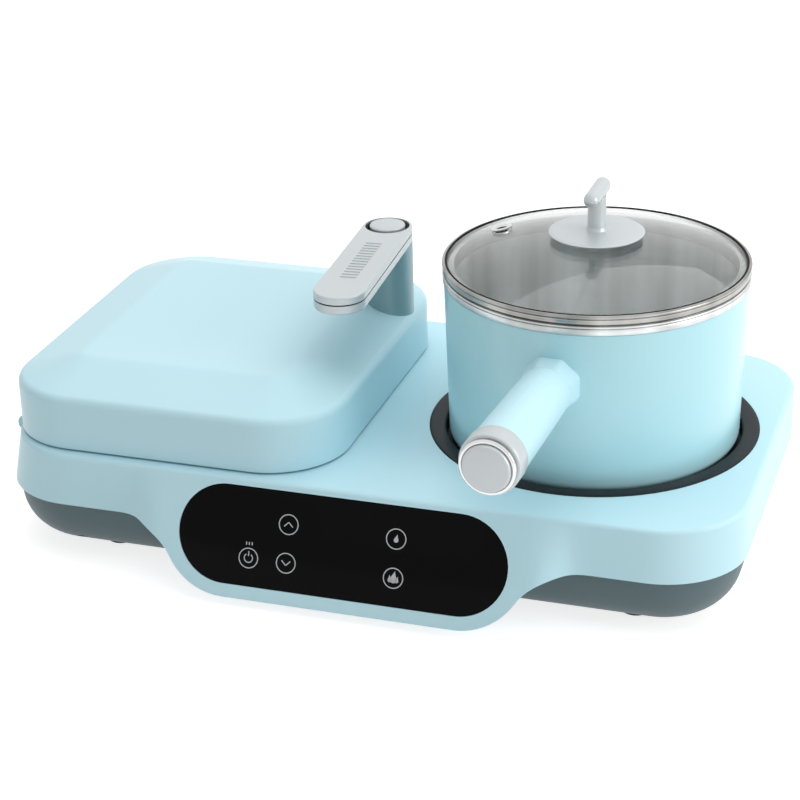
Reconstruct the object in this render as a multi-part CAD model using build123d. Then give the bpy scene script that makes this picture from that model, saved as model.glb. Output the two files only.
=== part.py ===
from build123d import *
from math import atan2, cos, degrees, hypot, pi, radians, sin, sqrt, tan
import os

# A breakfast station: a sandwich grill with a hinged lid at the left, a hotplate with a pot
# at the right, and a touch panel on a tongue at the front. Millimetres, +Z up, front at -Y.

# Driving sizes of the grill plates and the hotplate's ring, and the margins round them
plate_width = 158.0
plate_depth = 192.0
ring_outer = 90.0
plate_left_margin = 18.0
plate_front_margin = 19.5
plate_ring_gap = 41.5
ring_right_margin = 8.5

# Driving sizes of the base housing, which is as large as the plates and the ring need
base_width = plate_left_margin + plate_width + plate_ring_gap + 2 * ring_outer + ring_right_margin
base_depth = plate_depth + 2 * plate_front_margin
base_corner = 45.0
deck_z = 66.0
band_height = 30.0
left_flare = 6.0
deck_edge = 2.5
wall = 2.2
deck_thickness = 3.0
clearance = 0.3
fit_gap = 0.1

# Driving sizes of the front tongue and its window
tongue_tilt = radians(19.5)
tongue_length = 64.0
tongue_radius = 36.5
tongue_half = 100.2
tongue_web = 30.0
blend_start = 0.8
blend_length = 29.0
window_side_margin = 10.0
window_height = 53.0
window_top = 3.7
window_thickness = 2.0
window_lap = 3.0
window_seat = 2.5
touch_board_thickness = 1.2
key_radius = 5.5
key_columns = (-50.0, -29.0, 30.0)
key_rows = (21.0, 41.5)

# Driving sizes of the tub, feet and housing screws
tub_inset = 2.9
tub_lap = 2.0
tub_floor = 2.5
tub_round = 27.0
foot_height = 4.0
foot_radius = 9.0
foot_side_margin = 56.0
foot_end_margin = 35.5
screw_radius = 1.5
screw_head_radius = 3.1
screw_head_height = 2.0
boss_radius = 4.0
tub_screw_seat = 22.0
boss_split = 40.0
boss_edge = 14.5
boss_corner = 43.0
boss_right = 35.0
boss_right_edge = 23.5
boss_middle = 6.2
slot_width = 3.0
slot_length = 34.0
slot_pitch = 9.0
slot_count = 7

# Driving sizes of the grill lid
lid_overhang = 0.5
lid_reach = 13.2
lid_setback = 6.0
lid_corner = 42.0
lid_gap = 1.2
lid_shoulder_z = 96.5
lid_top_z = 107.0
lid_inset = 35.0
lid_shoulder_round = 5.0
lid_top_round = 14.0
lid_wall = 2.8
lid_chamfer_z = 77.0
lid_chamfer = 6.5

# Driving sizes of the hinge
hinge_inset = 2.0
hinge_z = 63.0
hinge_radius = 5.0
hinge_pin_radius = 2.0
hinge_barrel_half = 64.0
hinge_post_length = 14.0
hinge_pin_length = 26.0
hinge_web_reach = 11.5
hinge_web_start = 1.0
hinge_web_z = 66.6
hinge_web_top = 70.0
trough_wall = 2.5

# Driving sizes of the grill plates' details, elements and pans
plate_corner = 20.0
plate_lip = 4.5
plate_flange = 2.1
plate_rise = 0.6
plate_gap = 0.4
plate_floor = 3.0
plate_rim = 3.0
lower_pocket = 12.0
upper_pocket = 10.0
pocket_rib = 6.0
pocket_taper = 10.0
ridge_height = 5.0
ridge_width = 9.0
ridge_share = 0.72
element_radius = 3.25
element_margin = 31.0
element_end_margin = 30.0
element_bend = 24.0
pan_sheet = 0.8
pan_clear = 1.7
pan_flange = 3.0
pan_room = 1.2
frame_sheet = 2.5
stat_height = 8.0
stat_tab_half = 3.0
stat_tab_place = 5.0
stat_tab_length = 4.0
lid_screw_edge = 8.3
lid_screw_side = 7.5
lid_screw_half = 55.0
lid_screw_rows = (-50.0, 10.0)
lid_boss_radius = 3.5

# Driving sizes of the lid handle, its button and the latch
column_inset = 16.1
column_y = 52.8
column_radius = 14.2
column_screw_reach = 11.1
column_screw_length = 17.6
tip_inset = 10.4
tip_y = -45.1
arm_top = 149.3
arm_cover = 4.2
arm_seam = 0.8
arm_shell = 5.0
seam_inset = 0.5
moat_radius = 12.7
button_radius = 10.2
button_thickness = 3.4
button_travel = 3.0
button_bevel = 0.7
rod_radius = 2.5
rod_bore = 3.1
spring_radius = 5.0
spring_wire = 0.5
spring_turns = 6
spring_bore = 6.4
spring_floor_z = 127.0
shell_floor = 3.6
rib_count = 14
rib_pitch = 4.0
rib_width = 1.3
rib_length = 9.0
rib_height = 0.4
slider_z = 91.1
slider_thickness = 2.6
slider_half = 6.0
slider_reach = 16.1
leg_inset = 4.2
leg_thickness = 3.5
nose_reach = 1.6
nose_height = 3.8
nose_gap = 0.4
rod_end_z = 92.2
ramp_gap = 0.4
slot_room = 1.0
wedge_start = 1.0
bracket_sheet = 1.2

# Driving sizes of the hotplate
pot_gap = 1.6
ring_crown = 0.6
ring_lip = 1.2
ring_sheet = 2.2
ring_flange = 1.5
ring_step = 4.0
ring_tray_z = 57.5
hotplate_radius = 75.0
hotplate_z = 59.0
hotplate_thickness = 8.0
hotplate_bevel = 1.0
hob_element_radius = 50.0
dish_z = 36.0
dish_margin = 4.0
dish_rim = 12.0
dish_sheet = 0.8
stud_radius = 4.0
stud_inset = 11.0
hotplate_grooves = (30.0, 45.0, 60.0)
groove_radius = 0.5
sensor_radius = 9.0
sensor_depth = 4.0
sensor_gap = 0.4

# Driving sizes of the pot
jacket_low = 79.0
jacket_high = 81.0
jacket_sheet = 1.6
jacket_corner = 7.0
jacket_turn = 1.0
jacket_top_z = 151.6
collar_radius = 82.0
collar_top_z = 156.6
collar_thickness = 3.0
vessel_sheet = 1.0
base_disc_radius = 70.0
base_disc_height = 3.0

# Driving sizes of the pot handle
handle_turn = radians(-93.0)
handle_z = 123.0
socket_radius = 17.8
socket_end = 91.0
socket_taper = 12.0
grip_root_radius = 13.8
grip_end_radius = 15.1
grip_wall = 2.0
grip_end = 165.0
sleeve_radius = 15.7
sleeve_end = 176.5
handle_ring_radius = 14.4
handle_ring_end = 180.0
end_cap_radius = 12.2
end_cap_end = 182.0
tie_rod_radius = 3.0

# Driving sizes of the glass lid
rim_radius = 81.95
rim_width = 2.2
rim_low_z = 156.7
rim_high_z = 162.4
rim_skirt_depth = 6.0
rim_skirt_radius = 75.6
rim_sheet = 1.0
rim_round = 1.0
pane_thickness = 4.0
pane_edge_z = 161.9
dome_top_z = 175.5
eyelet_offset = (-55.4, 13.0)
eyelet_radius = 5.8
eyelet_bore = 3.0
eyelet_flange = 1.5
eyelet_neck = 4.2
eyelet_tail = 1.0
knob_disc_radius = 25.4
knob_disc_z = 176.7
knob_disc_thickness = 1.7
gasket_radius = 20.0
gasket_drop = 2.0
stem_radius = 4.9
bar_radius = 4.3
bar_half = 16.5
bar_z = 198.6
knob_washer_radius = 9.0
knob_screw_radius = 2.0
knob_screw_hole = 8.0
knob_screw_reach = 7.0
knob_washer_drop = 2.0
knob_head_height = 2.0

# Driving sizes of the electrical pieces
board_width = 120.0
board_depth = 80.0
board_thickness = 1.6
board_z = 15.0
standoff_radius = 3.5
standoff_inset = 6.0
gland_offset = 7.8
gland_z = 50.0
gland_flange = 9.0
gland_flange_sheet = 2.0
gland_neck = 6.0
gland_bore = 3.6
gland_out = 8.0
gland_in = 10.0
terminal_width = 34.0
terminal_depth = 16.0
terminal_height = 12.0
terminal_corner = 1.5
terminal_pitch = 10.0
terminal_hole = 2.5
component_boxes = ((-36.0, 8.0, 30.0, 26.0, 14.0), (0.0, 18.0, 19.0, 15.0, 13.0),
                   (24.0, 18.0, 19.0, 15.0, 13.0), (44.0, -14.0, 16.0, 40.0, 9.0))
capacitor_spots = ((-8.0, -20.0), (6.0, -20.0), (20.0, -20.0))
capacitor_radius = 5.0
capacitor_height = 12.0
component_corner = 1.0

parts = {}

# Places of the main pieces along the width
left_edge = -base_width / 2
grill_x = left_edge + plate_left_margin + plate_width / 2
pot_x = base_width / 2 - ring_right_margin - ring_outer
lid_left = left_edge - lid_overhang
lid_right = grill_x + plate_width / 2 + lid_reach
lid_depth = base_depth - 2 * lid_setback
hinge_x = lid_left + hinge_inset
column_x = lid_right - column_inset
tip_x = lid_right - tip_inset
slider_left = column_x - slider_reach
leg_right = lid_right - leg_inset
gland_x = lid_right + gland_offset
window_width = 2 * (tongue_half - window_side_margin)
blend_inner = tongue_half + blend_start
blend_outer = blend_inner + blend_length

# Levels and places that follow from the driving sizes
front_y = -base_depth / 2
band_z = deck_z - band_height
low_z = 0.0
lid_low_z = deck_z + lid_gap
tub_left = -base_width / 2 - left_flare + tub_inset
tub_right = base_width / 2 - tub_inset
tub_half_depth = base_depth / 2 - tub_inset
tub_top = band_z + tub_lap
floor_z = foot_height + tub_floor
tongue_back = -tub_half_depth - clearance


def block(x0, x1, y0, y1, z0, z1):
    """A box between two corners."""
    return Pos((x0 + x1) / 2, (y0 + y1) / 2, (z0 + z1) / 2) * Box(x1 - x0, y1 - y0, z1 - z0)


def rod(x, y, z0, z1, radius):
    """An upright cylinder between two levels."""
    return Pos(x, y, (z0 + z1) / 2) * Cylinder(radius, z1 - z0)


def slab(x, y, width, depth, corner, z0, z1):
    """An upright block with rounded corners."""
    return extrude(Pos(x, y, z0) * RectangleRounded(width, depth, corner), amount=z1 - z0)


def turned(points, x, y):
    """A round piece from its half section of (radius, level) points."""
    section = make_face(Polyline([(r, 0, z) for r, z in points], close=True))
    return Pos(x, y, 0) * revolve(section, Axis.Z)


def corner_arc(cx, cy, radius, start):
    """A quarter turn of an outline, counter-clockwise from a start angle in degrees."""
    spots = [radians(start + step) for step in (0, 45, 90)]
    return ThreePointArc(*[(cx + radius * cos(a), cy + radius * sin(a)) for a in spots])


# Base housing
def base_outline(z, inset=0.0):
    """The housing's outline at one level: its front bulges into the tongue further down."""
    drop = deck_z - z
    left = -base_width / 2 - left_flare * drop / band_height + inset
    right = base_width / 2 - inset
    back = base_depth / 2 - inset
    front = -back
    nose = front - drop * tan(tongue_tilt)
    r = base_corner - inset
    mid = (blend_outer + blend_inner) / 2
    edges = [
        Line((left + r, front), (-blend_outer, front)),
        Bezier((-blend_outer, front), (-mid, front), (-mid, nose), (-blend_inner, nose)),
        Line((-blend_inner, nose), (blend_inner, nose)),
        Bezier((blend_inner, nose), (mid, nose), (mid, front), (blend_outer, front)),
        Line((blend_outer, front), (right - r, front)),
        corner_arc(right - r, front + r, r, -90),
        Line((right, front + r), (right, back - r)),
        corner_arc(right - r, back - r, r, 0),
        Line((right - r, back), (left + r, back)),
        corner_arc(left + r, back - r, r, 90),
        Line((left, back - r), (left, front + r)),
        corner_arc(left + r, front + r, r, 180),
    ]
    return Pos(0, 0, z) * make_face(edges)


def tongue_outline(inset=0.0):
    """The tongue seen square on, with concave webs up into the band, y measured up the slope."""
    end_x = tongue_half - tongue_radius
    end_s = tongue_radius - tongue_length
    band_s = -band_height / cos(tongue_tilt)
    web_s = band_s - tongue_web
    web_x = end_x + sqrt((tongue_radius + tongue_web) ** 2 - (end_s - web_s) ** 2)
    over = deck_edge * 2
    low = inset - tongue_length
    face = Pos(0, (over + low) / 2) * Rectangle(2 * end_x, over - low)
    for side in (-1, 1):
        face += Pos(side * end_x, end_s) * Circle(tongue_radius - inset)
        web = [(end_x, end_s), (end_x, over), (web_x, over), (web_x, web_s)]
        face += make_face(Polyline([(side * x, s) for x, s in web], close=True))
    for side in (-1, 1):
        face -= Pos(side * web_x, web_s) * Circle(tongue_web + inset)
    return scale(face, by=(1, cos(tongue_tilt), 1))


upright_plane = Plane(origin=(0, front_y, deck_z), x_dir=(1, 0, 0), z_dir=(0, -1, 0))
tongue_plane = Plane(origin=(0, front_y, deck_z), x_dir=(1, 0, 0),
                     z_dir=(0, -cos(tongue_tilt), sin(tongue_tilt)))


def housing_block(inset, top, back_y):
    """The housing's bulk: the band all round, and the tongue below it at the front."""
    bulk = loft([base_outline(low_z, inset), base_outline(top, inset)], ruled=True)
    if inset == 0:
        rim = bulk.faces().sort_by(Axis.Z)[-1].edges()
        bulk = fillet(rim, deck_edge)
    reach = base_width
    band = bulk & block(-reach, reach, -reach, reach, band_z, deck_z)
    prism = extrude(upright_plane * tongue_outline(inset), amount=base_corner, both=True)
    tongue = bulk & prism & block(-reach, reach, -reach, back_y, low_z, deck_z)
    return band + tongue


def stadium(grow):
    """The window's outline on the tongue's face, grown all round."""
    return Pos(0, -window_top - window_height / 2) * SlotOverall(
        window_width + 2 * grow, window_height + 2 * grow)


def on_tongue(face, depth0, depth1):
    """A prism below the tongue's face, between two depths."""
    placed = tongue_plane * (Pos(0, 0, -depth1) * face)
    return extrude(placed, amount=depth1 - depth0, dir=tongue_plane.z_dir)


housing = housing_block(0.0, deck_z, tongue_back)
housing_outer = housing
housing -= housing_block(wall, deck_z - deck_thickness, tongue_back - wall)

# The window's seat, thickened from behind
seat_depth = window_thickness + window_seat
housing += on_tongue(stadium(window_lap), 0, seat_depth) & housing_outer
housing -= on_tongue(stadium(fit_gap), -deck_edge, window_thickness)
housing -= on_tongue(stadium(-window_lap), 0, 2 * seat_depth)

# The well for the hotplate's ring
ring_skirt = ring_outer - ring_step
ring_inner = jacket_low + pot_gap
housing -= rod(pot_x, 0, deck_z - ring_flange, deck_z + wall, ring_outer + fit_gap)
housing -= rod(pot_x, 0, deck_z - 2 * deck_thickness, deck_z, ring_skirt + fit_gap)

# The seat of the lower grill plate
lip_z = deck_z + plate_rise - plate_flange
body_width = plate_width - 2 * plate_lip
body_depth = plate_depth - 2 * plate_lip
body_corner = plate_corner - plate_lip
housing -= slab(grill_x, 0, plate_width + clearance, plate_depth + clearance, plate_corner,
                lip_z, deck_z + wall)
housing -= slab(grill_x, 0, body_width + 2 * clearance, body_depth + 2 * clearance,
                body_corner, deck_z - 2 * deck_thickness, deck_z + wall)

# The hinge trough and posts in the left rim
def hinge_rod(y0, y1, radius):
    """A cylinder on the hinge's axis."""
    return Pos(hinge_x, (y0 + y1) / 2, hinge_z) * Rot(90, 0, 0) * Cylinder(radius, y1 - y0)


trough_radius = hinge_radius + clearance
trough_half = hinge_barrel_half + clearance
trough_right = hinge_x + trough_radius + trough_wall
trough_low = hinge_z - trough_radius - trough_wall
trough_end = trough_half + hinge_post_length
trough_face = -base_width / 2 - left_flare * (deck_z - trough_low) / band_height
trough = block(trough_face, trough_right, -trough_end, trough_end, trough_low, deck_z)
housing += trough & housing_outer
for side in (-1, 1):
    y0, y1 = sorted((side * trough_half, side * trough_end))
    housing += hinge_rod(y0, y1, hinge_radius)
housing -= hinge_rod(-trough_half, trough_half, trough_radius)
housing -= block(trough_face - base_corner, hinge_x + trough_radius, -trough_half, trough_half,
                 hinge_z, deck_z + base_corner)
housing -= block(trough_face - base_corner, hinge_x, -trough_half, trough_half,
                 hinge_z - trough_radius, deck_z + base_corner)
pin_start = trough_end - hinge_pin_length
housing -= hinge_rod(-trough_end - wall, trough_end + wall, hinge_pin_radius + fit_gap / 2)

# The latch slot in the deck
slot_right = leg_right + nose_reach + nose_gap
slot_left = leg_right - leg_thickness - button_travel - 2 * nose_gap
slot_front = column_y - slider_half - slot_room
slot_back = column_y + slider_half + slot_room
housing -= block(slot_left, slot_right, slot_front, slot_back, deck_z - 2 * deck_thickness,
                 deck_z + wall)

# Screw bosses and the gland's hole
edge_y = base_depth / 2 - boss_edge
boss_places = ((left_edge + boss_corner, edge_y), (lid_right - boss_middle, edge_y),
               (base_width / 2 - boss_right, base_depth / 2 - boss_right_edge))
spots = [(x, side * y) for x, y in boss_places for side in (-1, 1)]
for x, y in spots:
    housing += rod(x, y, boss_split, deck_z - deck_thickness, boss_radius)
    housing -= rod(x, y, boss_split, deck_z - 2 * deck_thickness, screw_radius + fit_gap)
gland_axis = Pos(gland_x, base_depth / 2, gland_z) * Rot(-90, 0, 0)
housing -= gland_axis * Cylinder(gland_neck + fit_gap, 4 * wall)
parts["base_housing"] = housing

# Control window, a black glass plate let into the tongue
parts["control_window"] = on_tongue(stadium(0), 0, window_thickness)

# Touch board behind the window, with a sensor pad under each key
touch_board = on_tongue(stadium(fit_gap - window_lap / 2), seat_depth,
                        seat_depth + touch_board_thickness)
parts["touch_board"] = touch_board
key_spots = [(key_columns[0], key_rows[1])]
key_spots += [(x, s) for x in key_columns[1:] for s in key_rows]
pads = [on_tongue(Pos(x, -s) * Circle(key_radius), window_thickness + fit_gap, seat_depth)
        for x, s in key_spots]
parts["touch_sensor_pads"] = Compound(pads)


# Bottom tub, with its bosses, standoffs and vents
def tub_block(inset, low, top):
    """The tub's bulk, rounded all round underneath."""
    width = tub_right - tub_left - 2 * inset
    depth = 2 * (tub_half_depth - inset)
    corner = base_corner - tub_inset - inset
    bulk = slab((tub_left + tub_right) / 2, 0, width, depth, corner, low, top)
    return fillet(bulk.faces().sort_by(Axis.Z)[0].edges(), tub_round - inset)


tub_outer = tub_block(0.0, foot_height, tub_top)
tub = tub_outer - tub_block(wall, floor_z, tub_top)
for x, y in spots:
    post = rod(x, y, foot_height, band_z, boss_radius + wall / 2)
    tub += post & tub_outer
    tub += rod(x, y, band_z, boss_split - fit_gap, boss_radius)
    tub -= rod(x, y, 0, tub_screw_seat, screw_head_radius + clearance)
    tub -= rod(x, y, tub_screw_seat, boss_split, screw_radius + fit_gap)
stud_circle = hotplate_radius - stud_inset
stud_spots = [(pot_x + stud_circle * cos(radians(a)), stud_circle * sin(radians(a)))
              for a in (90, 210, 330)]
for x, y in stud_spots:
    tub += rod(x, y, floor_z - wall / 2, dish_z, stud_radius + wall / 2)
board_spots = [(grill_x + i * (board_width / 2 - standoff_inset), j * (board_depth / 2 - standoff_inset))
               for i in (-1, 1) for j in (-1, 1)]
for x, y in board_spots:
    tub += rod(x, y, floor_z - wall / 2, board_z, standoff_radius)
for index in range(slot_count):
    offset = (index - (slot_count - 1) / 2) * slot_pitch
    vent = Pos(0, offset, foot_height) * extrude(SlotOverall(slot_length, slot_width),
                                                 amount=2 * tub_floor, both=True)
    tub -= Pos(pot_x, 0, 0) * vent
    tub -= Pos(grill_x, 0, 0) * vent
parts["bottom_tub"] = tub

# Rubber feet
feet = []
foot_x = base_width / 2 - foot_side_margin
foot_y = base_depth / 2 - foot_end_margin
for x in (-foot_x, foot_x):
    for y in (-foot_y, foot_y):
        foot = rod(x, y, 0, foot_height, foot_radius)
        foot = chamfer(foot.faces().sort_by(Axis.Z)[0].edges(), foot_height / 4)
        feet.append(foot)
parts["rubber_feet"] = Compound(feet)


# Screws
def screw(x, y, seat, tip):
    """A pan-head screw driven upwards, with a cross recess in its head."""
    piece = rod(x, y, seat, tip, screw_radius)
    piece += rod(x, y, seat - screw_head_height, seat, screw_head_radius)
    recess = screw_head_radius * 1.1
    low = seat - screw_head_height
    for width, depth in ((recess, recess / 4), (recess / 4, recess)):
        piece -= Pos(x, y, low) * Box(width, depth, screw_head_height)
    return piece


housing_tip = deck_z - 3 * deck_thickness
parts["housing_screws"] = Compound([screw(x, y, tub_screw_seat, housing_tip)
                                             for x, y in spots])

# Hotplate ring: a flat black band level with the deck, a throat round the pot and a drip tray
ring_top = deck_z + ring_crown
throat = ring_inner + ring_sheet
tray_inner = hotplate_radius + 2 * clearance
parts["hotplate_ring"] = turned([
    (ring_outer, deck_z - ring_flange), (ring_skirt, deck_z - ring_flange),
    (ring_skirt, deck_z - ring_flange - deck_thickness),
    (throat, deck_z - ring_flange - deck_thickness), (throat, ring_tray_z - ring_flange),
    (tray_inner, ring_tray_z - ring_flange), (tray_inner, ring_tray_z), (ring_inner, ring_tray_z),
    (ring_inner, deck_z - ring_lip / 2), (ring_inner + ring_lip, deck_z + ring_crown / 2),
    (ring_outer - 2 * ring_lip, ring_top), (ring_outer - ring_crown, ring_top),
    (ring_outer, deck_z)], pot_x, 0)

# Hotplate casting on three studs, with a hole for the sensor
hotplate_low = hotplate_z - hotplate_thickness
hotplate = rod(pot_x, 0, hotplate_low, hotplate_z, hotplate_radius)
hotplate = chamfer(hotplate.faces().sort_by(Axis.Z)[-1].edges(), hotplate_bevel)
hotplate -= rod(pot_x, 0, hotplate_low, hotplate_z, sensor_radius + 2 * clearance)
for groove in hotplate_grooves:
    hotplate -= Pos(pot_x, 0, hotplate_z) * Torus(groove, groove_radius)
for x, y in stud_spots:
    hotplate += rod(x, y, dish_z + dish_sheet, hotplate_low, stud_radius)
parts["hotplate"] = hotplate

# Hotplate element, an open ring of tube under the casting, with two cold ends
element_z = hotplate_low - element_radius
ends = radians(20)
loop_start = (pot_x + hob_element_radius * cos(ends), hob_element_radius * sin(ends), element_z)
loop_mid = (pot_x - hob_element_radius, 0, element_z)
loop_end = (loop_start[0], -loop_start[1], element_z)
loop_path = ThreePointArc(loop_start, loop_mid, loop_end)
section = Plane(origin=loop_start, z_dir=loop_path % 0) * Circle(element_radius)
parts["hotplate_element"] = sweep(section, path=loop_path)

# Hotplate sensor, a spring-loaded cup in the middle, on its stem
sensor_low = hotplate_low - sensor_depth
sensor = rod(pot_x, 0, sensor_low, hotplate_z - sensor_gap, sensor_radius)
sensor += rod(pot_x, 0, dish_z + dish_sheet, sensor_low, sensor_radius / 2)
parts["hotplate_sensor"] = sensor

# Hotplate dish, the heat shield on the tub's three bosses
dish_radius = hotplate_radius + dish_margin
dish = rod(pot_x, 0, dish_z, dish_z + dish_rim, dish_radius)
dish -= rod(pot_x, 0, dish_z + dish_sheet, dish_z + dish_rim, dish_radius - dish_sheet)
parts["hotplate_dish"] = dish


# Grill plates, castings with two pockets and a cutting ridge across each
def grill_plate(pocket):
    """A plate with its rim at level 0 and its body below."""
    body_low = -pocket - plate_floor
    plate = slab(0, 0, plate_width, plate_depth, plate_corner, -plate_flange, 0)
    plate += slab(0, 0, body_width, body_depth, body_corner, body_low, -plate_flange)
    pocket_width = body_width - 2 * plate_rim
    pocket_depth = (body_depth - 2 * plate_rim - pocket_rib) / 2
    for side in (-1, 1):
        y = side * (pocket_depth + pocket_rib) / 2
        mouth = RectangleRounded(pocket_width, pocket_depth, body_corner - plate_rim)
        plate -= Pos(0, y, 0) * extrude(mouth, amount=-pocket, taper=pocket_taper)
        turn = side * 180 / pi * (pocket_depth / hypot(pocket_width, pocket_depth))
        crest = make_face(Polyline([(-ridge_width / 2, 0), (ridge_width / 2, 0),
                                    (0, ridge_height)], close=True))
        length = hypot(pocket_width, pocket_depth) * ridge_share
        ridge = extrude(Plane.YZ * crest, amount=length / 2, both=True)
        plate += Pos(0, y, -pocket) * Rot(0, 0, turn) * ridge
    return plate


lower_face_z = deck_z + plate_rise
upper_face_z = lower_face_z + plate_gap
lower_plate_low = lower_face_z - lower_pocket - plate_floor
upper_plate_high = upper_face_z + upper_pocket + plate_floor
parts["lower_grill_plate"] = Pos(grill_x, 0, lower_face_z) * grill_plate(lower_pocket)
upper_plate = mirror(grill_plate(upper_pocket), about=Plane.XY)
parts["upper_grill_plate"] = Pos(grill_x, 0, upper_face_z) * upper_plate


# Grill elements, U-shaped tubes against the back of each plate
element_half_width = plate_width / 2 - element_margin
element_half_depth = plate_depth / 2 - element_end_margin


def grill_element(z):
    """A U of heater tube at one level."""
    x0 = grill_x - element_half_width
    x1 = grill_x + element_half_width
    y1 = element_half_depth
    path = FilletPolyline((x0, -y1, z), (x0, y1, z), (x1, y1, z), (x1, -y1, z),
                          radius=element_bend)
    tube = Plane(origin=path @ 0, z_dir=path % 0) * Circle(element_radius)
    return sweep(tube, path=path)


parts["lower_grill_element"] = grill_element(lower_plate_low - element_radius)
parts["upper_grill_element"] = grill_element(upper_plate_high + element_radius)


# Grill pans, pressed trays round the element with a flange
def grill_pan(flange_z, floor_level):
    """A tray between its flange's outer face and its floor's outer face."""
    up = 1 if floor_level > flange_z else -1
    width = body_width + 2 * pan_clear + 2 * pan_sheet
    depth = body_depth + 2 * pan_clear + 2 * pan_sheet
    corner = body_corner + pan_clear
    z0, z1 = sorted((flange_z, floor_level))
    tray = slab(grill_x, 0, width, depth, corner, z0, z1)
    f0, f1 = sorted((flange_z, flange_z + up * pan_sheet))
    tray += slab(grill_x, 0, width + 2 * pan_flange, depth + 2 * pan_flange,
                 corner + pan_flange, f0, f1)
    c0, c1 = sorted((flange_z, floor_level - up * pan_sheet))
    tray -= slab(grill_x, 0, width - 2 * pan_sheet, depth - 2 * pan_sheet,
                 corner - pan_sheet, c0, c1)
    return tray


lower_pan_low = lower_plate_low - 2 * element_radius - pan_room - pan_sheet
upper_pan_high = upper_plate_high + 2 * element_radius + pan_room / 2 + pan_sheet
frame_low = upper_face_z + plate_flange
frame_high = frame_low + frame_sheet
parts["lower_grill_pan"] = grill_pan(deck_z - deck_thickness, lower_pan_low)
parts["upper_grill_pan"] = grill_pan(frame_high, upper_pan_high)

# Grill thermostat, a disc switch under the lower pan, with two tabs
stat_z = lower_pan_low - stat_height
stat = rod(grill_x, 0, stat_z, lower_pan_low, sensor_radius)
for side in (-1, 1):
    tab_y = side * stat_tab_place
    stat += block(grill_x - stat_tab_half, grill_x + stat_tab_half, tab_y - pan_sheet / 2,
                  tab_y + pan_sheet / 2, stat_z - stat_tab_length, stat_z)
parts["grill_thermostat"] = stat


# Grill lid cover
def lid_outline(shrink, z):
    """The lid's outline at one level, moved in all round."""
    width = lid_right - lid_left - 2 * shrink
    return Pos((lid_left + lid_right) / 2, 0, z) * RectangleRounded(
        width, lid_depth - 2 * shrink, lid_corner - shrink)



lid_slope = (lid_top_z - lid_shoulder_z) / lid_inset


def lid_block(inset, low):
    """The lid's bulk: an upright wall, then four slopes up to a flat top."""
    shoulder = lid_shoulder_z - inset
    top = lid_top_z - inset
    flat = inset + lid_inset - inset * lid_slope / 2
    lower = extrude(lid_outline(inset, low), amount=shoulder - low)
    upper = loft([lid_outline(inset, shoulder), lid_outline(flat, top)], ruled=True)
    return lower + upper


def chamfer_wedge(inset):
    """What the slanted lower part of the left wall takes away."""
    over = lid_corner
    points = [(lid_left + inset, lid_chamfer_z), (lid_left + lid_chamfer + inset, lid_low_z),
              (lid_left + lid_chamfer + inset, lid_low_z - over),
              (lid_left - over, lid_low_z - over), (lid_left - over, lid_chamfer_z)]
    face = make_face(Plane.XZ * Polyline(points, close=True))
    return extrude(face, amount=lid_depth, both=True)


lid_outer = lid_block(0.0, lid_low_z)
shoulder_edges = lid_outer.edges().filter_by(
    lambda e: abs(e.center().Z - lid_shoulder_z) < 0.01 and abs(e.bounding_box().size.Z) < 0.01)
lid_outer = fillet(shoulder_edges, lid_shoulder_round)
top_edges = lid_outer.faces().sort_by(Axis.Z)[-1].edges()
lid_outer = fillet(top_edges, lid_top_round)
lid_outer -= chamfer_wedge(0.0)
lid_inner = lid_block(lid_wall, lid_low_z) - chamfer_wedge(lid_wall)
lid_cover = lid_outer - lid_inner

# The hinge barrel and its web under the lid's left wall
barrel = hinge_rod(-hinge_barrel_half, hinge_barrel_half, hinge_radius)
barrel += block(hinge_x + hinge_web_start, hinge_x + hinge_web_reach, -hinge_barrel_half,
                hinge_barrel_half, hinge_web_z, hinge_web_top)
lid_cover += barrel
lid_cover -= hinge_rod(-hinge_barrel_half, hinge_barrel_half, hinge_pin_radius + fit_gap / 2)

# Lid bosses, and the handle's holes
lid_screw_y = lid_depth / 2 - lid_screw_edge
lid_screw_spots = [(grill_x + i * lid_screw_half, j * lid_screw_y)
                   for i in (-1, 1) for j in (-1, 1)]
lid_screw_spots += [(lid_right - lid_screw_side, y) for y in lid_screw_rows]
for x, y in lid_screw_spots:
    lid_cover += rod(x, y, frame_high, lid_top_z, lid_boss_radius) & lid_inner
    lid_cover -= rod(x, y, frame_high, frame_high + 4 * frame_sheet, screw_radius + fit_gap)
lid_cover -= rod(column_x, column_y, slider_z, lid_top_z + lid_wall, rod_bore)
column_screw_spots = [(column_x, column_y + side * column_screw_reach) for side in (-1, 1)]
for x, y in column_screw_spots:
    lid_cover -= rod(x, y, slider_z, lid_top_z, screw_radius + fit_gap)
parts["lid_cover"] = lid_cover

# Hinge pins, pressed into the posts and running in the barrel
pins = []
for side in (-1, 1):
    y0, y1 = sorted((side * pin_start, side * trough_end))
    pins.append(hinge_rod(y0, y1, hinge_pin_radius))
parts["hinge_pins"] = Compound(pins)

# Lid inner frame, which closes the lid round the upper plate
frame_left = hinge_x + hinge_web_reach + clearance
frame = extrude(lid_outline(lid_wall + fit_gap, frame_low), amount=frame_sheet)
frame -= block(lid_left, frame_left, -lid_depth, lid_depth, frame_low, frame_high)
frame -= slab(grill_x, 0, body_width + clearance, body_depth + clearance, body_corner,
              frame_low, frame_high)
frame -= block(slot_left, lid_right, slot_front, slot_back, frame_low, frame_high)
for x, y in lid_screw_spots:
    frame -= rod(x, y, frame_low, frame_high, screw_radius + fit_gap)
parts["lid_inner_frame"] = frame
parts["lid_screws"] = Compound([
    screw(x, y, frame_low, frame_high + 3 * frame_sheet) for x, y in lid_screw_spots])

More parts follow.
